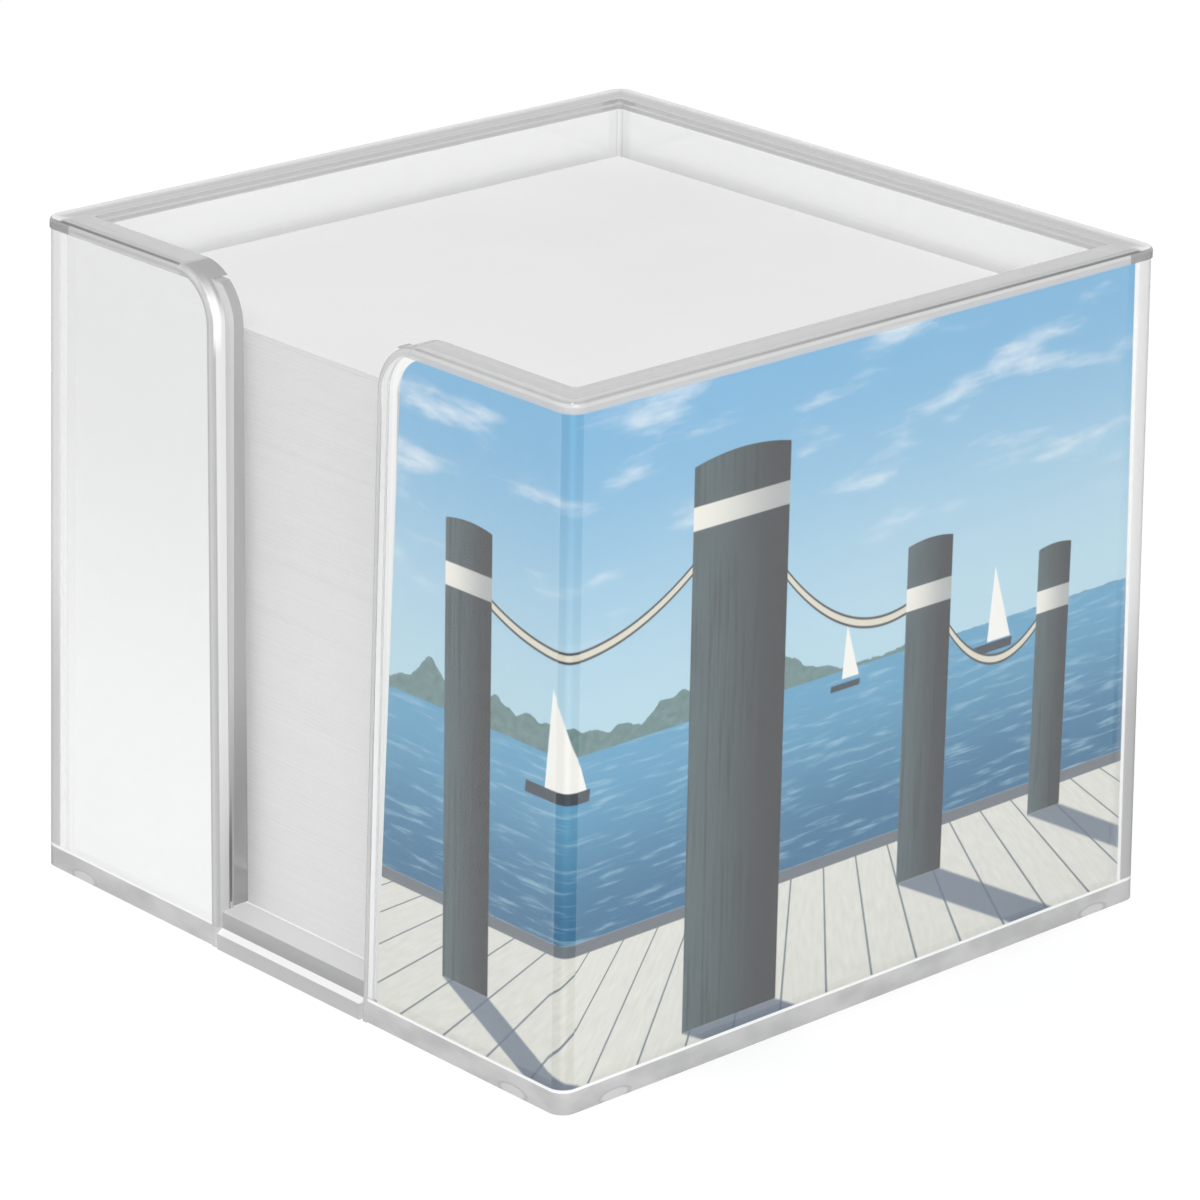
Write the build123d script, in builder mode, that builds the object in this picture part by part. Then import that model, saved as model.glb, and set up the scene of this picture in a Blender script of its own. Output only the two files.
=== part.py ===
"""Memo box: a clear hood over a clear tray, a card strip between them, and loose square sheets.

Millimetres, +Z up. The origin is on the desk under the middle of the box.
The finger slot is in the front, towards -Y.
The widths are built up from the sheets outwards: tray, card strip, hood.
"""
from build123d import *
import math
import os

# Loose sheets
sheet_size = 90.0
sheet_thickness = 0.1
headroom = 6.7

# Overall
height = 90.4
base_lift = 0.4

# Tray: the inner box
tray_top_wall = 1.5
tray_draft = 0.62
tray_inner_radius = 0.8
tray_outer_radius = 0.9
floor_thickness = 2.5
underside_border = 14.0
underside_recess = 0.6
underside_radius = 3.0

# Card strip in the pocket between tray and hood
card_thickness = 0.3
card_fold = 0.2
card_lean_left = 1.4
card_lean_right = 2.7
card_corner_ease = 1.25

# Hood: the outer shell
hood_wall = 1.6
hood_draft = 0.82
pocket_radius = 0.6
rim_height = 1.4
rim_proud = 0.2
rim_edge_round = 0.6

# Finger slot, with the frame that stiffens the hood along its edges
slot_width = 28.8
slot_lean = 1.3
slot_round = 7.0
slot_frame = 1.0

# Tongue of the tray that fills the foot of the finger slot
sill_height = 5.5
tongue_proud = 0.35
tongue_step = 0.9
tongue_step_low = 2.6
tongue_step_high = 3.2

# Feet
foot_diameter = 5.5
foot_thickness = 1.2
foot_inset = 5.2
foot_edge_round = 0.3

# Clearances
sheet_room = 1.6
rim_room = 0.8
rim_seat = 0.05
pocket_clearance = 0.15
frame_clearance = 0.15
slot_clearance = 0.2
card_clearance = 0.8
flange_clearance = 0.2
foot_clearance = 0.15
cut_over = 1.0

# Heights that follow
rim_bottom = height - rim_height
tray_top = rim_bottom - rim_seat
floor_top = base_lift + floor_thickness
stack_top = rim_bottom - headroom - sheet_thickness
card_top = rim_bottom - pocket_clearance

# Widths that follow, at the top of the box
rim_opening = sheet_size + 2 * rim_room
tray_cavity = sheet_size + 2 * sheet_room
tray_top_width = tray_cavity + 2 * tray_top_wall
pocket_top_width = tray_top_width + 2 * (card_thickness + 2 * pocket_clearance)
rim_width = pocket_top_width + 2 * (hood_wall + rim_proud)
rim_depth = (rim_width - rim_opening) / 2

# Corner radii that follow
card_radius = card_fold + card_thickness
hood_radius = pocket_radius + hood_wall
rim_radius = hood_radius + rim_proud

# Slot sizes that follow
slot_half = slot_width / 2
slot_top_half = slot_half + slot_lean
frame_half = slot_half + slot_frame
frame_top_half = slot_top_half + slot_frame
frame_depth = (rim_width - tray_top_width) / 2 - frame_clearance
frame_round = slot_round - slot_frame

hood_slope = math.tan(math.radians(hood_draft))
tray_slope = math.tan(math.radians(tray_draft))


def tray_width_at(level):
    """Outside width of the tray's wall."""
    return tray_top_width + 2 * tray_slope * (tray_top - level)


def rim_width_at(level):
    """Width of the drafted surface of the rim and of the slot's frame."""
    return rim_width + 2 * hood_slope * (height - level)


def hood_width_at(level):
    """Outside width of the hood's wall."""
    return rim_width_at(level) - 2 * rim_proud


def pocket_width_at(level):
    """Inside width of the hood's wall."""
    return hood_width_at(level) - 2 * hood_wall


def card_width_at(level):
    """Outside width of the card strip."""
    return pocket_width_at(level) - 2 * pocket_clearance


def card_inside_at(level):
    """Inside width of the card strip."""
    return card_width_at(level) - 2 * card_thickness


def drafted_block(width_at, low, high, radius, mode=Mode.ADD):
    """Loft a rounded square between its widths at two levels."""
    with BuildSketch(Plane.XY.offset(low)) as lower:
        RectangleRounded(width_at(low), width_at(low), radius)
    with BuildSketch(Plane.XY.offset(high)) as upper:
        RectangleRounded(width_at(high), width_at(high), radius)
    loft([lower.sketch, upper.sketch], mode=mode)


def draw_slot(foot_half, left_half, right_half, radius, low, high):
    """Draw a slot in front view, its sides leaning out and rounded off where they reach the high level."""
    level = high - radius
    left = left_half + radius
    right = right_half + radius
    left_lean = math.degrees(math.atan2(left_half - foot_half, level - low))
    right_lean = math.degrees(math.atan2(right_half - foot_half, level - low))
    with BuildLine() as outline:
        left_arc = CenterArc((-left, level), radius, left_lean, 90 - left_lean)
        right_arc = CenterArc((right, level), radius, 90, 90 - right_lean)
        Polyline(left_arc @ 1, (-left, high + cut_over), (right, high + cut_over), right_arc @ 0)
        Polyline(right_arc @ 1, (foot_half, low), (-foot_half, low), left_arc @ 0)
    make_face(outline.edges())


def on_rim_outside(edge):
    """Tell whether an edge lies along the outside of the rim rather than along its opening."""
    middle = edge.center()
    return max(abs(middle.X), abs(middle.Y)) > rim_width / 2 - rim_depth / 4


# Outer hood
lean = math.radians(hood_draft)
front_normal = (0, -math.cos(lean), math.sin(lean))
front = Plane(origin=(0, -rim_width / 2, height), x_dir=(1, 0, 0), z_dir=front_normal)

with BuildPart() as outer_hood:
    drafted_block(hood_width_at, base_lift, rim_bottom, hood_radius)
    drafted_block(pocket_width_at, base_lift, rim_bottom, pocket_radius, Mode.SUBTRACT)
    drafted_block(rim_width_at, rim_bottom, height, rim_radius)
    with BuildSketch(Plane.XY.offset(rim_bottom)):
        RectangleRounded(rim_opening, rim_opening, tray_inner_radius)
    extrude(amount=rim_height, mode=Mode.SUBTRACT)
    # Frame along the slot
    with BuildSketch(front):
        draw_slot(frame_half, frame_top_half, frame_top_half, frame_round, base_lift - height, -slot_frame)
    extrude(amount=-frame_depth)
    split(bisect_by=Plane.XY.offset(base_lift), keep=Keep.TOP)
    # Slot, open at the top and the bottom
    with BuildSketch(Plane.XZ.offset(rim_opening / 2 - rim_depth)):
        draw_slot(slot_half, slot_top_half, slot_top_half, slot_round, 0, height)
    extrude(amount=3 * rim_depth, mode=Mode.SUBTRACT)
    # Outer edge of the rim, rounded round the box and down both sides of the slot
    slot_edges = outer_hood.edges(Select.LAST)
    slot_edges = slot_edges.filter_by_position(Axis.Z, floor_top, height - rim_edge_round)
    slot_edges = slot_edges.filter_by_position(Axis.Y, -rim_width, -rim_width / 2)
    rim_edges = outer_hood.edges().group_by(Axis.Z)[-1].filter_by(on_rim_outside)
    fillet(slot_edges + rim_edges, rim_edge_round)
outer_hood.part.label = "outer_hood"

# Inner tray
flange_width = pocket_width_at(floor_top) - 2 * flange_clearance
flange_radius = pocket_radius - flange_clearance
notch_half = frame_half + slot_clearance
notch_front = rim_width_at(floor_top) / 2 - frame_depth - slot_clearance
tongue_half = slot_half - slot_clearance
tongue_front = hood_width_at(base_lift) / 2 + tongue_proud
tongue_face = tongue_front - tongue_step
underside_width = tray_cavity - 2 * underside_border
foot_pitch = rim_width - 2 * foot_inset

with BuildPart() as inner_tray:
    drafted_block(tray_width_at, floor_top, tray_top, tray_outer_radius)
    with BuildSketch(Plane.XY.offset(floor_top)):
        RectangleRounded(tray_cavity, tray_cavity, tray_inner_radius)
    extrude(amount=tray_top - floor_top, mode=Mode.SUBTRACT)
    with BuildSketch(Plane.XZ.offset(tray_cavity / 2 - tray_top_wall)):
        draw_slot(slot_half, slot_half, slot_half, slot_round, sill_height, height)
    extrude(amount=3 * tray_top_wall, mode=Mode.SUBTRACT)
    # Floor and flange, notched for the hood's slot frame
    with BuildSketch(Plane.XY.offset(base_lift)):
        RectangleRounded(flange_width, flange_width, flange_radius)
        with Locations((0, -flange_width / 2)):
            Rectangle(2 * notch_half, flange_width - 2 * notch_front, mode=Mode.SUBTRACT)
    extrude(amount=floor_thickness)
    # Stepped tongue in the foot of the slot
    with BuildSketch(Plane.YZ.offset(-tongue_half)):
        with BuildLine():
            Polyline((-tray_cavity / 2, base_lift), (-tongue_front, base_lift),
                     (-tongue_front, tongue_step_low), (-tongue_face, tongue_step_high),
                     (-tongue_face, sill_height), (-tray_cavity / 2, sill_height), close=True)
        make_face()
    extrude(amount=2 * tongue_half)
    # Underside
    with BuildSketch(Plane.XY.offset(base_lift)):
        RectangleRounded(underside_width, underside_width, underside_radius)
    extrude(amount=underside_recess, mode=Mode.SUBTRACT)
    with BuildSketch(Plane.XY.offset(base_lift)):
        with GridLocations(foot_pitch, foot_pitch, 2, 2):
            Circle(foot_diameter / 2 + foot_clearance)
    extrude(amount=foot_thickness - base_lift, mode=Mode.SUBTRACT)
inner_tray.part.label = "inner_tray"

# Corner feet
with BuildPart() as corner_feet:
    with BuildSketch():
        with GridLocations(foot_pitch, foot_pitch, 2, 2):
            Circle(foot_diameter / 2)
    extrude(amount=foot_thickness)
    fillet(corner_feet.edges().group_by(Axis.Z)[0], foot_edge_round)
corner_feet.part.label = "corner_feet"

# Card strip, folded round the tray
card_foot_half = frame_half + card_clearance
card_left_half = card_foot_half + card_lean_left
card_right_half = card_foot_half + card_lean_right
card_round = frame_round - card_corner_ease

with BuildPart() as wrap_insert:
    drafted_block(card_width_at, floor_top, card_top, card_radius)
    drafted_block(card_inside_at, floor_top, card_top, card_fold, Mode.SUBTRACT)
    with BuildSketch(Plane.XZ.offset(tray_cavity / 2)):
        draw_slot(card_foot_half, card_left_half, card_right_half, card_round, floor_top, card_top)
    extrude(amount=rim_depth, mode=Mode.SUBTRACT)
wrap_insert.part.label = "wrap_insert"

# Loose sheets, pushed towards the far left corner of the tray
sheet_shift = rim_room / 2

with BuildPart() as paper_stack:
    with BuildSketch(Plane.XY.offset(floor_top)):
        with Locations((-sheet_shift, sheet_shift)):
            Rectangle(sheet_size, sheet_size)
    extrude(amount=stack_top - floor_top)
paper_stack.part.label = "paper_stack"

with BuildPart() as top_sheet:
    with BuildSketch(Plane.XY.offset(stack_top)):
        with Locations((-sheet_shift, sheet_shift)):
            Rectangle(sheet_size, sheet_size)
    extrude(amount=sheet_thickness)
top_sheet.part.label = "top_sheet"

os.makedirs("parts", exist_ok=True)
for piece in (outer_hood, inner_tray, corner_feet, wrap_insert, paper_stack, top_sheet):
    export_step(piece.part, f"parts/{piece.part.label}.step")
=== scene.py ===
import math
import random

import bpy
from mathutils import Matrix, Vector


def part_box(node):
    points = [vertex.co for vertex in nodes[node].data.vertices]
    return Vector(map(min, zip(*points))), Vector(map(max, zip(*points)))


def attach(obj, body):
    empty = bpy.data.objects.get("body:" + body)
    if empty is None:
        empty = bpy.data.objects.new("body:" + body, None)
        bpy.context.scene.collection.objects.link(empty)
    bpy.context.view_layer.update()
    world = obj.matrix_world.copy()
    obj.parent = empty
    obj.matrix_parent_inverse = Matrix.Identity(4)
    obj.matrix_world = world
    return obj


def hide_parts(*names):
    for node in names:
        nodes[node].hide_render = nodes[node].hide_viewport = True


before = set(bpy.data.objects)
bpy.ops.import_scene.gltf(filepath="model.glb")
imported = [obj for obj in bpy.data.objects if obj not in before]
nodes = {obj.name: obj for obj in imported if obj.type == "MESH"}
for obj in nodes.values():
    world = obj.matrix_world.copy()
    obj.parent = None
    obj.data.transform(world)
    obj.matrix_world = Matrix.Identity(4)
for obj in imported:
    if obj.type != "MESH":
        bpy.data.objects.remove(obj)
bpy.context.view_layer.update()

MM = 0.001
BOUNCES = 32
scene = bpy.context.scene
scene.view_settings.view_transform = "Standard"
scene.cycles.max_bounces = BOUNCES
scene.cycles.transmission_bounces = BOUNCES
scene.cycles.glossy_bounces = BOUNCES
scene.cycles.transparent_max_bounces = BOUNCES

# Places on the box, in millimetres
card_low, card_high = (Vector(c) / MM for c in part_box("wrap_insert"))
tray_low, tray_high = (Vector(c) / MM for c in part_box("inner_tray"))
hood_low, hood_high = (Vector(c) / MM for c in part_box("outer_hood"))
BASE_TOP = card_low.z
RIM_LOW = tray_high.z

# Finger slot
SLOT_HALF = 14.4
SLOT_LEAN = 1.3
SLOT_ROUND = 7.0
SLOT_FRAME = 1.0
SLOT_LEVEL = hood_high.z - SLOT_ROUND
FRAME_BACK = 2.1

# Hood, with the depth that still counts as the outside of its wall
WALL_INSIDE = 47.0
RIM_INSIDE = 45.5
RIM_HALF = 50.5
RIM_PROUD = 0.2
RIM_ROUND = 0.6
RIM_RADIUS = 2.4
HOOD_SLOPE = (hood_high.x + RIM_PROUD - RIM_HALF) / (hood_high.z - hood_low.z)
SKIN = 1.0

# Round pads as painted into the base where they show through it, a dark ring with a lighter middle
PAD_SEEN = 9.0
PAD_HALF = 2.75
PAD_LEVEL = 0.9

# Tray, and the stepped tongue in the foot of the slot
TRAY_HALF = 48.1
TRAY_SLOPE = math.tan(math.radians(0.62))
TRAY_INSIDE = -46.6
SILL = 5.5
STEP_LOW = 2.6
STEP_HIGH = 3.2
TONGUE_STEP = 0.9
TONGUE_FACE = tray_low.y + TONGUE_STEP


class Graph:
    """A node tree, with short calls that add a node and return its output socket."""

    def __init__(self, tree):
        self.tree = tree
        tree.nodes.clear()

    def node(self, kind, **settings):
        made = self.tree.nodes.new(kind)
        for key, value in settings.items():
            setattr(made, key, value)
        return made

    def put(self, socket, value):
        if isinstance(value, bpy.types.NodeSocket):
            self.tree.links.new(value, socket)
        else:
            socket.default_value = value

    def math(self, operation, *values, clamp=False):
        made = self.node("ShaderNodeMath", operation=operation, use_clamp=clamp)
        for socket, value in zip(made.inputs, values):
            self.put(socket, value)
        return made.outputs[0]

    def add(self, *values):
        return self.math("ADD", *values)

    def sub(self, *values):
        return self.math("SUBTRACT", *values)

    def divide(self, *values):
        return self.math("DIVIDE", *values)

    def most(self, *values):
        return self.math("MAXIMUM", *values)

    def least(self, *values):
        return self.math("MINIMUM", *values)

    def mul(self, first, *rest):
        for value in rest:
            first = self.math("MULTIPLY", first, value)
        return first

    def distance(self, *values):
        """Square root of the sum of two squares."""
        first, second = (self.mul(value, value) for value in values)
        return self.math("SQRT", self.add(first, second))

    def size(self, value):
        return self.math("ABSOLUTE", value)

    def span(self, value, low, high, to_low=0.0, to_high=1.0):
        """Ease from one value to another while the input goes from low to high."""
        made = self.node("ShaderNodeMapRange", interpolation_type="SMOOTHSTEP")
        for socket, item in zip(made.inputs, (value, low, high, to_low, to_high)):
            self.put(socket, item)
        return made.outputs[0]

    def above(self, value, limit, soft):
        return self.span(self.sub(value, limit), -soft, soft)

    def below(self, value, limit, soft):
        return self.span(self.sub(value, limit), soft, -soft)

    def band(self, value, low, high, soft):
        """One where a value lies between two limits."""
        return self.mul(self.above(value, low, soft), self.below(value, high, soft))

    def mix(self, factor, a, b):
        made = self.node("ShaderNodeMix", data_type="RGBA")
        self.put(made.inputs["Factor"], factor)
        self.put(made.inputs["A"], a)
        self.put(made.inputs["B"], b)
        return made.outputs["Result"]

    def noise(self, vector, scale, detail=2.0, roughness=0.5):
        made = self.node("ShaderNodeTexNoise")
        self.put(made.inputs["Vector"], vector)
        for name, value in (("Scale", scale), ("Detail", detail), ("Roughness", roughness)):
            made.inputs[name].default_value = value
        return made.outputs["Fac"]

    def stretched(self, vector, scale):
        made = self.node("ShaderNodeMapping")
        self.put(made.inputs["Vector"], vector)
        made.inputs["Scale"].default_value = scale
        return made.outputs["Vector"]

    def joined(self, *values):
        made = self.node("ShaderNodeCombineXYZ")
        for socket, value in zip(made.inputs, values):
            self.put(socket, value)
        return made.outputs[0]

    def parts(self, vector):
        made = self.node("ShaderNodeSeparateXYZ")
        self.put(made.inputs[0], vector)
        return made.outputs

    def place(self):
        """Position on the piece, in millimetres of the box's own frame."""
        return self.stretched(self.node("ShaderNodeTexCoord").outputs["Object"], (1 / MM, 1 / MM, 1 / MM))

    def rays(self, *kinds):
        """One for rays of any of these kinds."""
        path = self.node("ShaderNodeLightPath").outputs
        found = path[f"Is {kinds[0]} Ray"]
        for kind in kinds[1:]:
            found = self.most(found, path[f"Is {kind} Ray"])
        return found

    def bump(self, height, strength, distance):
        made = self.node("ShaderNodeBump")
        self.put(made.inputs["Height"], height)
        made.inputs["Strength"].default_value = strength
        made.inputs["Distance"].default_value = distance
        return made.outputs["Normal"]

    def principled(self, **values):
        made = self.node("ShaderNodeBsdfPrincipled")
        for key, value in values.items():
            self.put(made.inputs[key.replace("_", " ")], value)
        return made.outputs[0]

    def shader(self, kind, **values):
        """A simple shader node, such as Diffuse, with its sockets set."""
        made = self.node(kind)
        for key, value in values.items():
            self.put(made.inputs[key], value)
        return made.outputs[0]

    def mix_shader(self, factor, a, b):
        made = self.node("ShaderNodeMixShader")
        for socket, value in zip(made.inputs, (factor, a, b)):
            self.put(socket, value)
        return made.outputs[0]

    def output(self, shader, kind="ShaderNodeOutputMaterial"):
        made = self.node(kind)
        self.tree.links.new(shader, made.inputs["Surface"])


def new_material(name):
    material = bpy.data.materials.new(name)
    material.use_nodes = True
    return material, Graph(material.node_tree)


def dress(obj, material):
    obj.data.materials.clear()
    obj.data.materials.append(material)


def new_object(name, vertices, faces):
    mesh = bpy.data.meshes.new(name)
    mesh.from_pydata(vertices, [], faces)
    mesh.update()
    obj = bpy.data.objects.new(name, mesh)
    scene.collection.objects.link(obj)
    return obj


def grey(value):
    return (value, value, value, 1.0)


def colour(code):
    """Linear colour of a hexadecimal screen colour."""
    channels = [int(code[i:i + 2], 16) / 255 for i in (0, 2, 4)]
    return tuple(c / 12.92 if c <= 0.04045 else ((c + 0.055) / 1.055) ** 2.4 for c in channels) + (1.0,)


# Clear plastic: clear on the flat walls; at edges, roundings, columns and base, regions paint into its colour
# the light lines, dark lines, glints and grey that refraction shows there
def clear_plastic(name, place_class, regions, unbent=None):
    """Each region is a mask, its haze, which lets its tone show, and its painted tone of light and shade;
    unbent surfaces let rays straight through.
    """
    material, g = new_material(name)
    at = g.place()
    place = place_class(g, *g.parts(at))
    haze = 0.0
    tint_and_painted_light = (0.985, 0.988, 0.99, 1)
    for mask, amount, shade in regions(g, place):
        haze = g.span(mask, 0.0, 1.0, haze, amount)
        # the region's tone is painted light and shade, mixed into the plastic's own tint
        tint_and_painted_light = g.mix(mask, tint_and_painted_light, grey(shade) if isinstance(shade, float) else shade)
    scuffs = g.noise(g.stretched(at, (0.4, 0.4, 0.06)), 1.0, 3.0)
    body = g.principled(
        Base_Color=tint_and_painted_light, IOR=1.57, Transmission_Weight=g.math("SUBTRACT", 1.0, haze, clamp=True),
        Roughness=g.span(scuffs, 0.6, 0.85, 0.0, 0.03),
    )
    if unbent:
        straight = g.shader("ShaderNodeBsdfTransparent", Color=grey(0.92))
        body = g.mix_shader(unbent(g, place), body, straight)
    clear = g.shader("ShaderNodeBsdfTransparent")
    g.output(g.mix_shader(g.rays("Shadow", "Diffuse"), body, clear))
    return material


def edge_reach(g, x, z, front, lean):
    """How far a point lies inside the slot's width, and how far from the rim's top or the slot's edge."""
    widening = g.mul(g.least(z, SLOT_LEVEL), lean / SLOT_LEVEL)
    across = g.sub(g.add(widening, SLOT_HALF + SLOT_ROUND), g.size(x))
    across = g.mul(front, g.most(across, 0.0))
    rise = g.most(g.sub(z, SLOT_LEVEL), 0.0)
    return across, g.sub(SLOT_ROUND, g.distance(across, rise))


class HoodPlace:
    """Where a point of the hood lies: distances in millimetres, and masks from zero to one."""

    def __init__(self, g, x, y, z):
        half = g.add(RIM_HALF, g.mul(g.sub(hood_high.z, z), HOOD_SLOPE))
        major = g.most(g.size(x), g.size(y))
        minor = g.least(g.size(x), g.size(y))
        rounded = [g.most(g.sub(side, g.sub(half, RIM_RADIUS)), 0.0) for side in (major, minor)]
        self.x, self.y, self.z = x, y, z
        # In from the level of the rim's outer face, and along that face from the next corner
        self.inset = g.sub(half, major)
        self.along = g.sub(half, minor)
        self.depth = g.sub(RIM_RADIUS, g.distance(*rounded))
        # Left and rear sides
        self.far = g.most(g.sub(0.0, x), y)
        self.far_half = g.above(self.far, 0.0, 1.0)
        self.far_wall = g.above(self.far, WALL_INSIDE, 0.5)
        # Rim and slot frame, with their face, rounding and top
        self.front = g.below(y, -RIM_INSIDE, 0.2)
        across, reach = edge_reach(g, x, z, self.front, SLOT_LEAN)
        self.rim = g.above(z, RIM_LOW, 0.05)
        self.curve = g.above(across, 0.4, 0.4)
        self.straight = g.sub(1.0, self.curve)
        self.strip = g.most(self.rim, g.mul(self.front, g.below(reach, SLOT_FRAME, 0.05)))
        self.top = g.mul(self.strip, g.below(reach, 0.08, 0.04))
        self.face = g.mul(self.strip, g.below(self.depth, 0.08, 0.04))
        self.bend = g.mul(self.strip, g.below(self.depth, RIM_ROUND, 0.04), g.below(reach, RIM_ROUND, 0.04))
        # Turn of the rounding, from minus one at the face to one at the top
        self.turn = g.divide(g.sub(self.depth, reach), RIM_ROUND)


# Corner columns of the hood, painted grey with painted light strips beside them: widths along the wall from
# its corner, and levels between which their painted shade changes
COLUMN_WIDTH = 3.7
LIGHT_START = 3.6
LIGHT_END_LEFT = 5.1
LIGHT_END_RIGHT = 4.35
COLUMN_LEVELS = (25.0, 48.0)


def wall_regions(g, at):
    """The far walls, lightly greyed, and along the corners the columns painted grey, darker at the foot, with
    painted light strips beside them.
    """
    light_end = g.span(at.x, -RIM_HALF, RIM_HALF, LIGHT_END_LEFT, LIGHT_END_RIGHT)
    outer = g.mul(at.far_half, g.below(at.inset, SKIN, 0.1))
    painted_light_strip = g.mul(outer, g.band(at.along, LIGHT_START, light_end, 0.1))
    column_painted_grey = g.mul(outer, g.below(at.along, COLUMN_WIDTH, 0.08))
    painted_low_shade = g.span(at.x, -RIM_HALF, RIM_HALF, 0.62, 0.5)
    # Painted tones: light grey on the far walls, a painted light strip, and grey columns painted darker
    # towards the foot
    return (
        (at.far_wall, 0.12, 0.9),
        (painted_light_strip, 0.4, 0.98),
        (column_painted_grey, 0.9, g.span(at.z, *COLUMN_LEVELS, painted_low_shade, 0.78)),
    )


# Rim: places along it, from its corners or its middle, and depths in from its outer edge
RIM_END = 5.6
RIM_REACH = 45.0
FACE_REACH = 40.0
CORNER_GLINT = -49.55
FAR_EASE = (0.6, 2.6)
FAR_LINE = (2.8, 3.5)
INNER_BAND = 4.3
INNER_EDGE = 4.65
NEAR_BAND = (0.5, 1.4)
NEAR_LINE = (1.05, 1.35)


def along_rim(g, at, near, away):
    """Painted shade of the near rim, from the front corner to its ends."""
    return g.span(at.far, -RIM_REACH, RIM_REACH, near, away)


def across_face(g, at, left, right):
    """Painted shade of the rim's face, from the left to the right."""
    return g.span(at.x, -FACE_REACH, FACE_REACH, left, right)


def rim_regions(g, at):
    """The rim's top, face and rounding, in the far and the near half, painted with the light and dark lines,
    dark blocks and glint that refraction and reflection show.
    """
    near = g.mul(at.straight, g.sub(1.0, at.far_wall))
    far_top = g.mul(at.top, at.far_wall)
    near_top = g.mul(at.top, near)
    near_bend = g.mul(at.bend, near)
    end = g.mul(at.far_half, g.below(at.along, RIM_END, 0.1))
    painted_end_block = g.most(at.face, g.mul(at.bend, g.below(at.turn, 0.3, 0.1)))
    painted_corner_glint = g.mul(at.bend, g.below(at.far, CORNER_GLINT, 0.1), g.above(at.turn, 0.0, 0.2))
    # Every row paints light or shade: a grey strip, a far top easing darker inwards, painted dark lines, a
    # painted white rounding, dark blocks at the far ends and a glint at the front corner
    return (
        (at.strip, 0.45, 0.67),
        (far_top, 0.85, g.span(at.inset, *FAR_EASE, 0.86, 0.53)),
        (g.mul(far_top, g.band(at.inset, *FAR_LINE, 0.15)), 0.85, 0.5),
        (g.mul(at.rim, g.above(at.inset, INNER_BAND, 0.1)), 0.6, 0.64),
        (g.mul(at.rim, g.above(at.inset, INNER_EDGE, 0.03)), 0.5, 0.54),
        (at.face, 0.6, across_face(g, at, 0.57, 0.65)),
        (at.bend, 0.75, 0.92),
        (g.mul(near_bend, g.below(at.turn, 0.0, 0.2)), 0.75, across_face(g, at, 0.56, 0.66)),
        (g.mul(end, painted_end_block), 0.85, 0.34),
        (g.mul(near_bend, g.above(at.turn, -0.1, 0.1)), 0.8, along_rim(g, at, 0.5, 0.2)),
        (g.mul(near_top, g.band(at.depth, *NEAR_BAND, 0.1)), 0.85, along_rim(g, at, 0.62, 0.48)),
        (g.mul(near_top, g.band(at.depth, *NEAR_LINE, 0.05)), 0.85, along_rim(g, at, 0.62, 0.4)),
        (painted_corner_glint, 0.9, 1.0),
    )


# Slot frame: the depth of the painted glint in its arc, and levels between which its painted shades change
GLINT_DEPTH = 1.5
GLINT_LEVELS = (81.0, 88.0)
ARC_TOP = 86.0
FRAME_LEVELS = (5.0, 35.0)
REAR_LEVELS = (20.0, 85.0)
GAP_LOW_LEVELS = (12.0, 22.0)
GAP_HIGH_LEVELS = (35.0, 60.0)


def slot_regions(g, at):
    """The frame along the slot, painted in light and shade: its side lighter upwards and dark at the arc's
    top, its face and rounding grey, a glint in the arc, a light rear and a dark gap at the left, darkest at
    its foot.
    """
    side = g.mul(at.top, at.curve)
    left = g.below(at.x, 0.0, 1.0)
    rear_painted_tone = g.mul(at.front, at.curve, g.above(at.inset, FRAME_BACK, 0.03), g.sub(1.0, at.rim))
    painted_gap_shadow = g.span(at.z, *GAP_LOW_LEVELS, 0.1, g.span(at.z, *GAP_HIGH_LEVELS, 0.45, 0.55))
    glint = g.mul(side, g.below(at.inset, GLINT_DEPTH, 0.3), g.band(at.z, *GLINT_LEVELS, 2.0))
    # Painted tones: light and shade of the side, face and rounding, a painted glint, a painted light rear,
    # and a painted shadow in the gap at the left
    return (
        (side, 0.8, g.span(at.z, *FRAME_LEVELS, 0.6, 0.84)),
        (g.mul(side, g.above(at.z, ARC_TOP, 2.0)), 0.8, 0.4),
        (g.mul(at.face, at.curve), 0.85, g.span(at.x, -SLOT_HALF, SLOT_HALF, 0.48, 0.6)),
        (g.mul(at.bend, at.curve), 0.8, g.span(at.turn, -1.0, 0.8, 0.58, 0.48)),
        (glint, 0.9, 1.0),
        (rear_painted_tone, 0.8, g.span(at.z, *REAR_LEVELS, 0.93, 0.78)),
        (g.mul(rear_painted_tone, left), 0.9, painted_gap_shadow),
    )


# Base of the hood: the level of its top, the painted light line over it, and the scale of its painted mottle
BASE_EDGE = BASE_TOP + 0.3
BASE_LINE = (BASE_TOP + 0.35, BASE_TOP + 0.8)
PAINTED_MOTTLE_ALONG = 0.12
PAINTED_MOTTLE_UP = 0.25


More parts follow.
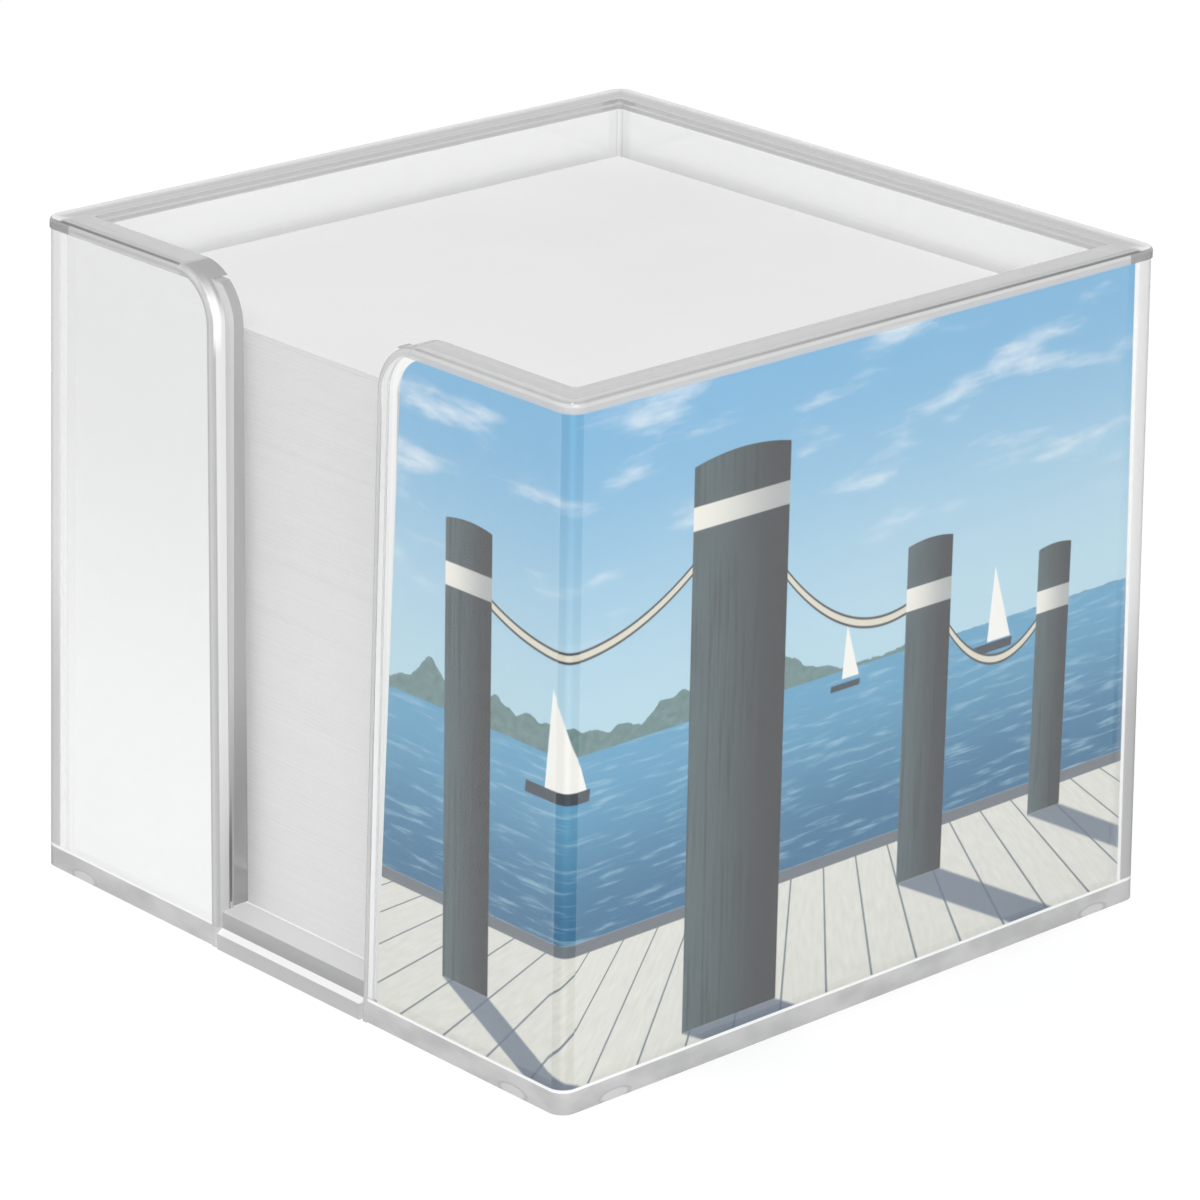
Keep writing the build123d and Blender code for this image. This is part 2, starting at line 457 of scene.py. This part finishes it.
def base_regions(g, at):
    """The base painted grey with a painted mottle of refraction, the pads behind it painted as a dark ring
    with a lighter middle, and a painted light line where the card begins.
    """
    flow = g.joined(g.mul(g.add(at.x, at.y), PAINTED_MOTTLE_ALONG), g.mul(at.z, PAINTED_MOTTLE_UP), 0.0)
    painted_refraction_mottle = g.noise(flow, 1.0, 3.0)
    base = g.below(at.z, BASE_EDGE, 0.05)
    pad_across = g.divide(g.sub(at.along, PAD_SEEN), PAD_HALF)
    pad_up = g.divide(g.sub(at.z, PAD_LEVEL), PAD_LEVEL)
    from_pad = g.distance(pad_across, pad_up)
    pad = g.mul(base, g.below(from_pad, 1.0, 0.12))
    line = g.mul(g.band(at.z, *BASE_LINE, 0.05), g.below(at.inset, SKIN, 0.1))
    # Painted tones: grey mottled base, dark pad ring with a lighter middle, and a light line over the base
    return (
        (base, 0.85, g.span(painted_refraction_mottle, 0.35, 0.65, 0.52, 0.63)),
        (pad, 0.85, 0.46),
        (g.mul(pad, g.below(from_pad, 0.8, 0.15)), 0.85, 0.66),
        (g.mul(line, g.sub(1.0, at.strip)), 0.9, 0.97),
    )


def hood_regions(g, at):
    return wall_regions(g, at) + rim_regions(g, at) + slot_regions(g, at) + base_regions(g, at)


CORNER_WIDTH = 3.0


def hood_corner(g, at):
    """Inside of the wall's corners, which lies so close to the card that it shows no bend."""
    inside = g.above(at.inset, SKIN, 0.1)
    return g.mul(g.below(at.along, CORNER_WIDTH, 0.1), inside, g.band(at.z, BASE_TOP, RIM_LOW, 0.05))


class TrayPlace:
    """Where a point of the tray lies, at the slot and the tongue that fills its foot."""

    def __init__(self, g, x, y, z):
        self.x, self.y, self.z = x, y, z
        self.front = g.below(y, TRAY_INSIDE + 0.3, 0.2)
        _, self.reach = edge_reach(g, x, z, self.front, 0.0)
        self.slot = g.mul(self.front, g.below(self.reach, 0.1, 0.05))
        surface = g.sub(-TRAY_HALF, g.mul(g.sub(tray_high.z, z), TRAY_SLOPE))
        self.outside = g.below(g.size(g.sub(y, surface)), 0.05, 0.02)


# Front of the tray: widths along its outside from the slot's edge, and levels between which its painted
# shades change
SEAM_BAND = (0.35, 2.0)
SEAM_LEVELS = (24.0, 12.0)
MARGIN_BAND = (-0.2, 3.5)
LIP_WIDTH = 1.6
SIDE_LEVELS = (18.0, 42.0)
TOP_EDGE = RIM_LOW - 0.3
ARC_END = 18.7


def tray_regions(g, at):
    """The slot's side and sill, the tongue, and the tray's outside and top beside the slot, painted in light
    and shade.
    """
    left = g.below(at.x, 0.0, 1.0)
    right = g.above(at.x, 0.0, 1.0)
    sill = g.mul(at.slot, g.below(at.z, SILL + 0.1, 0.05))
    sill_back_painted_light = g.mul(sill, g.above(at.y, TRAY_INSIDE - 0.3, 0.05))
    face = g.mul(at.slot, g.below(at.z, SILL - 0.1, 0.05), g.above(at.z, STEP_LOW, 0.05))
    foot = g.mul(at.slot, g.below(at.z, STEP_LOW, 0.05))
    proud = g.below(at.y, TONGUE_FACE - 0.05, 0.03)
    step = g.mul(at.slot, proud, g.band(at.z, STEP_LOW, STEP_HIGH, 0.05))
    outer = g.mul(at.outside, g.above(at.z, SILL + 0.5, 0.1))
    painted_seam_shadow = g.mul(outer, left, g.band(at.reach, *SEAM_BAND, 0.1), g.span(at.z, *SEAM_LEVELS))
    lip = g.mul(outer, left, g.below(at.reach, LIP_WIDTH, 0.1))
    painted_light_margin = g.mul(at.outside, right, g.band(at.reach, *MARGIN_BAND, 0.1), g.above(at.z, BASE_TOP, 0.05))
    top = g.above(at.z, TOP_EDGE, 0.1)
    arc_end = g.mul(at.front, top, g.below(g.size(at.x), ARC_END, 0.2))
    side = g.span(at.z, *SIDE_LEVELS, 0.41, 0.63)
    # Painted tones: the slot's side darker towards its foot, a painted shadow in the seam, painted light
    # lines at the sill's back, the step and beside the slot, and grey foot, sill, face, top and arc end
    return (
        (g.below(at.z, BASE_TOP + 0.1, 0.2), 0.5, 0.7),
        (at.slot, 0.6, side),
        (lip, 0.8, side),
        (sill, 0.85, 0.73),
        (sill_back_painted_light, 0.9, 1.0),
        (face, 0.85, 0.46),
        (foot, 0.85, 0.58),
        (step, 0.8, 0.95),
        (painted_seam_shadow, 0.9, 0.12),
        (painted_light_margin, 0.85, 0.98),
        (top, 0.6, 0.62),
        (arc_end, 0.85, 0.45),
    )


# Soft clear pads
def pad_rubber():
    material, g = new_material("pad_clear")
    grain = g.noise(g.place(), 0.9, 3.0)
    g.output(g.principled(
        Base_Color=g.mix(grain, grey(0.62), grey(0.72)), Roughness=0.35, Transmission_Weight=0.5, IOR=1.45,
        Normal=g.bump(grain, 0.1, 0.05 * MM),
    ))
    return material


# Printed picture: an invented harbour with mooring posts
# Along the strip, u runs from the slot to the fold at zero and on over the right face; v is the height
HORIZON = 46.0
QUAY = 22.0
QUAY_EDGE = 1.6
VANISH_U = 40.0
VANISH_V = 60.0
PLANKS = 7.0
SHADOW_SLANT = 1.9
CLOUD_LEVELS = (55.0, 68.0)
HILL_HEIGHT = 9.0
SHORE_FADE = (70.0, 10.0)
EDGE = 0.12
POSTS = (
    # middle, half width, top, foot
    (-17.0, 4.2, 71.0, 11.0),
    (27.0, 8.0, 79.0, 5.0),
    (60.0, 4.0, 60.0, 14.5),
    (83.0, 3.0, 54.0, 17.5),
)
POST_DOME = 0.12
COLLAR_DROP = (9.0, 6.0)
ROPE_DROP = 7.0
ROPE_SAG = 9.0
ROPE_HALF = 0.75
ROPE_CORE = 0.4
BOATS = (
    # middle, water line, height of the sail
    (-3.0, 40.0, 13.0),
    (45.0, 43.5, 7.0),
    (71.0, 42.0, 10.0),
)
BOOM = 1.4
# Shares of the sail's height
MAST_LEAN = 0.1
SAIL_WIDTH = 0.42
HULL_HEIGHT = 0.12
HULL_HALF = 0.36
HULL_SHIFT = 0.1


def sky_and_sea(g, u, v):
    at = g.joined(u, v, 0.0)
    clouds = g.noise(g.stretched(at, (0.045, 0.16, 1.0)), 1.0, 5.0, 0.55)
    sky = g.mix(g.span(v, HORIZON, card_high.z), colour("B5D6E4"), colour("74B0D7"))
    cover = g.mul(g.span(clouds, 0.52, 0.75), g.span(v, *CLOUD_LEVELS), 0.75)
    sky = g.mix(cover, sky, colour("F1F5F6"))
    ridge = g.noise(g.stretched(at, (0.05, 0.0, 1.0)), 1.0, 3.0)
    shore = g.mul(g.span(ridge, 0.3, 0.75, 0.0, HILL_HEIGHT), g.span(u, *SHORE_FADE))
    trees = g.noise(at, 0.9, 3.0)
    hills = g.mix(trees, colour("4F7268"), colour("7E9AA0"))
    sky = g.mix(g.below(v, g.add(g.add(shore, trees), HORIZON - 0.5), EDGE), sky, hills)
    ripples = g.noise(g.stretched(at, (0.13, 1.1, 1.0)), 1.0, 4.0, 0.6)
    sea = g.mix(g.span(v, QUAY, HORIZON), colour("2C6C92"), colour("5FA0C3"))
    sea = g.mix(g.span(ripples, 0.5, 0.72, 0.0, 0.55), sea, colour("A5CBDC"))
    return g.mix(g.above(v, HORIZON, EDGE), sea, sky)


def boats(g, u, v, picture):
    for middle, water, tall in BOATS:
        rise = g.divide(g.sub(v, water + BOOM), tall)
        lean = g.sub(u, g.add(middle, g.mul(rise, MAST_LEAN * tall)))
        inside = g.mul(g.band(rise, 0.0, 1.0, 0.01), g.above(lean, 0.0, EDGE))
        sail = g.mul(inside, g.below(lean, g.mul(g.sub(1.0, rise), SAIL_WIDTH * tall), EDGE))
        off = g.size(g.sub(lean, HULL_SHIFT * tall))
        hull = g.mul(g.band(v, water, water + HULL_HEIGHT * tall, EDGE), g.below(off, HULL_HALF * tall, EDGE))
        picture = g.mix(sail, picture, colour("F5F4EE"))
        picture = g.mix(hull, picture, colour("36404A"))
    return picture


def quay(g, u, v, picture):
    fan = g.divide(g.sub(u, VANISH_U), g.sub(VANISH_V, v))
    joint = g.size(g.sub(g.math("FRACT", g.mul(fan, PLANKS)), 0.5))
    grain = g.noise(g.stretched(g.joined(fan, v, 0.0), (60.0, 0.5, 1.0)), 1.0, 3.0)
    planks = g.mix(grain, colour("CFD0C6"), colour("ECEBE4"))
    planks = g.mix(g.below(joint, 0.025, 0.012), planks, colour("7D8790"))
    for middle, half, _, foot in POSTS:
        slant = g.sub(g.sub(u, middle), g.mul(g.sub(foot, v), SHADOW_SLANT))
        shadow = g.mul(g.below(g.size(slant), half, 0.5), g.below(v, foot, EDGE))
        planks = g.mix(g.mul(shadow, 0.85), planks, colour("55687F"))
    planks = g.mix(g.band(v, QUAY - QUAY_EDGE, QUAY, EDGE), planks, colour("6B737A"))
    return g.mix(g.below(v, QUAY, EDGE), picture, planks)


def ropes(g, u, v, picture):
    for (start, _, high, _), (end, _, low, _) in zip(POSTS, POSTS[1:]):
        t = g.divide(g.sub(u, start), end - start)
        sag = g.mul(t, g.sub(1.0, t), 4.0 * ROPE_SAG)
        line = g.sub(g.add(high - ROPE_DROP, g.mul(t, low - high)), sag)
        near = g.size(g.sub(v, line))
        along = g.band(t, 0.0, 1.0, 0.01)
        picture = g.mix(g.mul(along, g.below(near, ROPE_HALF, EDGE)), picture, colour("454A4D"))
        picture = g.mix(g.mul(along, g.below(near, ROPE_CORE, EDGE)), picture, colour("DDD8C8"))
    return picture


def posts(g, u, v, picture):
    collar_low, collar_high = COLLAR_DROP
    bark = g.noise(g.stretched(g.joined(u, v, 0.0), (1.6, 0.06, 1.0)), 1.0, 4.0)
    for middle, half, top, foot in POSTS:
        off = g.sub(u, middle)
        dome = g.sub(top, g.mul(off, off, POST_DOME / half))
        inside = g.mul(g.below(g.size(off), half, EDGE), g.band(v, foot, dome, EDGE))
        wood = g.mix(g.span(off, -half, half), colour("536468"), colour("2E3134"))
        wood = g.mix(g.span(bark, 0.45, 0.7, 0.0, 0.5), wood, colour("23282B"))
        paint = g.mix(g.span(off, -half, half), colour("EDEBE2"), colour("A9ADAC"))
        wood = g.mix(g.band(v, top - collar_low, top - collar_high, EDGE), wood, paint)
        picture = g.mix(inside, picture, wood)
    return picture


# Card, printed on the outside to the right of the slot, with painted light and shade in its white
INSIDE_PAINTED_LIGHT_LEVELS = (81.0, 88.0)
PAINTED_SHADE_LEVELS = (15.0, 80.0)
OUTER_SIDE = 20.0
REAR_FACING = 0.7
PRINT_END = 1.2
PRINT_LEAN = 0.018


def printed_card():
    material, g = new_material("printed_card")
    place = g.place()
    x, y, z = g.parts(place)
    facing = g.parts(g.node("ShaderNodeNewGeometry").outputs["True Normal"])
    fibre = g.noise(place, 1.8, 4.0)
    # Painted light and shade in the white: the front left panel darker towards its top, and elsewhere lighter
    # just above the stack, darker towards the rim
    front_left = g.mul(g.below(x, 0.0, 1.0), g.below(y, -WALL_INSIDE, 0.5))
    elsewhere_painted_light = g.span(z, *INSIDE_PAINTED_LIGHT_LEVELS, 0.96, 0.88)
    shade = g.span(front_left, 0.0, 1.0, elsewhere_painted_light, g.span(z, *PAINTED_SHADE_LEVELS, 0.95, 0.79))
    white = g.mul(shade, g.span(fibre, 0.0, 1.0, 0.98, 1.02))
    u = g.add(x, y)
    picture = sky_and_sea(g, u, z)
    for layer in (boats, quay, ropes, posts):
        picture = layer(g, u, z, picture)
    outward = g.add(g.mul(x, facing[0]), g.mul(y, facing[1]))
    printed = g.mul(
        g.math("GREATER_THAN", outward, OUTER_SIDE), g.math("GREATER_THAN", x, 0.0),
        g.math("LESS_THAN", facing[1], REAR_FACING),
        g.below(g.add(y, g.mul(z, PRINT_LEAN)), card_high.y - PRINT_END, 0.1),
    )
    g.output(g.principled(
        Base_Color=g.mix(printed, white, picture), Roughness=0.42, Normal=g.bump(fibre, 0.05, 0.01 * MM),
    ))
    return material


# Paper
LAYERS = 400
WANDER = 0.06 * MM
SEED = 7
PAPER_LEVELS = (30.0, 80.0)


def paper(name, shade, top_shade):
    """White paper whose painted shade goes over from one value to another towards the top of the stack."""
    material, g = new_material(name)
    place = g.place()
    fibre = g.noise(place, 2.5, 4.0)
    cloud = g.noise(place, 0.06, 3.0)
    layers = g.noise(g.stretched(place, (0.02, 0.02, 4.0)), 1.0, 2.0)
    tone = g.add(g.mul(fibre, 0.35), g.add(g.mul(cloud, 0.25), g.mul(layers, 0.4)))
    level_painted_shade = g.span(g.parts(place)[2], *PAPER_LEVELS, shade, top_shade)
    g.output(g.principled(
        Base_Color=g.mul(g.span(tone, 0.0, 1.0, 0.95, 1.05), level_painted_shade), Roughness=0.85,
        Normal=g.bump(fibre, 0.2, 0.01 * MM),
    ))
    return material


def sheet_block(name, low, high, layers, wander):
    """A stack of sheets whose edges stand in and out by a small wander."""
    rng = random.Random(SEED)
    lo, hi = Vector(low), Vector(high)
    step = (hi.z - lo.z) / layers
    vertices, faces = [], []
    for i in range(layers):
        inset = [rng.uniform(0, wander) for _ in range(4)]
        x0, x1 = lo.x + inset[0], hi.x - inset[1]
        y0, y1 = lo.y + inset[2], hi.y - inset[3]
        for z in (lo.z + i * step, lo.z + (i + 1) * step):
            vertices += [(x0, y0, z), (x1, y0, z), (x1, y1, z), (x0, y1, z)]
    for k in range(2 * layers - 1):
        a = 4 * k
        for j in range(4):
            n = (j + 1) % 4
            faces.append((a + j, a + n, a + 4 + n, a + 4 + j))
    faces.append((3, 2, 1, 0))
    last = 4 * (2 * layers - 1)
    faces.append((last, last + 1, last + 2, last + 3))
    return new_object(name, vertices, faces)


dress(nodes["outer_hood"], clear_plastic("hood_clear", HoodPlace, hood_regions, hood_corner))
dress(nodes["inner_tray"], clear_plastic("tray_clear", TrayPlace, tray_regions))
dress(nodes["corner_feet"], pad_rubber())
dress(nodes["wrap_insert"], printed_card())
stack_low, stack_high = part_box("paper_stack")
block = sheet_block("sheet_stack", stack_low, stack_high, LAYERS, WANDER)
# The stack's edges are darker than the top sheet, partly as paper edges are and partly as painted shade for
# the slot's recess, and painted darker towards the top
dress(block, paper("stack_paper", 0.735, 0.68))
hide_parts("paper_stack")
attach(block, "stack")
dress(nodes["top_sheet"], paper("sheet_paper", 0.80, 0.80))


# Floor, light and background, in metres and watts
FLOOR_HALF = 3.0
LIGHT_AIM = (0, 0, 0.05)
LIGHT_SIZE = 0.6
KEY_PLACE = (-0.3, -0.9, 1.0)
KEY_POWER = 3.5
FILL_PLACE = (1.0, -0.5, 0.7)
FILL_POWER = 7.0


def floor_material():
    """Pale floor that the camera sees as white with the box's shadow on it."""
    material, g = new_material("floor")
    tone = g.noise(g.place(), 0.008, 2.0)
    lit = g.shader("ShaderNodeBsdfDiffuse", Color=g.mix(tone, grey(0.86), grey(0.88)))
    dim = g.shader("ShaderNodeBsdfDiffuse", Color=grey(0.25))
    soft = g.shader("ShaderNodeBsdfDiffuse", Color=grey(0.3))
    glow = g.shader("ShaderNodeEmission", Strength=0.75)
    seen = g.node("ShaderNodeAddShader")
    g.put(seen.inputs[0], soft)
    g.put(seen.inputs[1], glow)
    shader = g.mix_shader(g.rays("Glossy"), lit, dim)
    g.output(g.mix_shader(g.rays("Camera", "Transmission"), shader, seen.outputs[0]))
    return material


def studio_world():
    """Even light, a white background for the camera, and a room that shines in the plastic."""
    world = bpy.data.worlds.new("studio")
    scene.world = world
    world.use_nodes = True
    g = Graph(world.node_tree)
    light = g.shader("ShaderNodeBackground", Strength=0.85)
    white = g.shader("ShaderNodeBackground", Color=grey(1.0))
    rise = g.parts(g.node("ShaderNodeTexCoord").outputs["Generated"])[2]
    room = g.shader("ShaderNodeBackground", Color=g.mix(g.span(rise, 0.0, 0.8), grey(0.9), grey(0.45)))
    shader = g.mix_shader(g.rays("Camera", "Transmission"), light, white)
    g.output(g.mix_shader(g.rays("Glossy"), shader, room), "ShaderNodeOutputWorld")


def area_light(name, place, power):
    lamp = bpy.data.lights.new(name, "AREA")
    lamp.shape = "SQUARE"
    lamp.size = LIGHT_SIZE
    lamp.energy = power
    obj = bpy.data.objects.new(name, lamp)
    obj.location = place
    obj.rotation_euler = (Vector(LIGHT_AIM) - Vector(place)).to_track_quat("-Z", "Y").to_euler()
    scene.collection.objects.link(obj)


corners = [(-FLOOR_HALF, -FLOOR_HALF, 0), (FLOOR_HALF, -FLOOR_HALF, 0),
           (FLOOR_HALF, FLOOR_HALF, 0), (-FLOOR_HALF, FLOOR_HALF, 0)]
floor = new_object("floor", corners, [(0, 1, 2, 3)])
dress(floor, floor_material())
studio_world()
area_light("key", KEY_PLACE, KEY_POWER)
area_light("fill", FILL_PLACE, FILL_POWER)


# Camera, at the photograph's angle
AZIMUTH = 47.1785
ELEVATION = 20.4149
ROLL = 0.9707
EYE = Vector((479.28, -442.95, 283.00)) * MM
LENS = 159.69
SENSOR = 36.0


def photo_camera():
    azimuth, elevation, roll = (math.radians(angle) for angle in (AZIMUTH, ELEVATION, ROLL))
    level = math.cos(elevation)
    back = Vector((math.sin(azimuth) * level, -math.cos(azimuth) * level, math.sin(elevation)))
    side = (-back).cross(Vector((0, 0, 1))).normalized()
    up = side.cross(-back)
    rolled_side = math.cos(roll) * side + math.sin(roll) * up
    rolled_up = math.cos(roll) * up - math.sin(roll) * side
    lens = bpy.data.cameras.new("camera")
    lens.lens = LENS
    lens.sensor_width = SENSOR
    lens.clip_start = 0.01
    camera = bpy.data.objects.new("camera", lens)
    turn = Matrix((rolled_side, rolled_up, back)).transposed().to_4x4()
    camera.matrix_world = Matrix.Translation(EYE) @ turn
    scene.collection.objects.link(camera)
    scene.camera = camera


photo_camera()
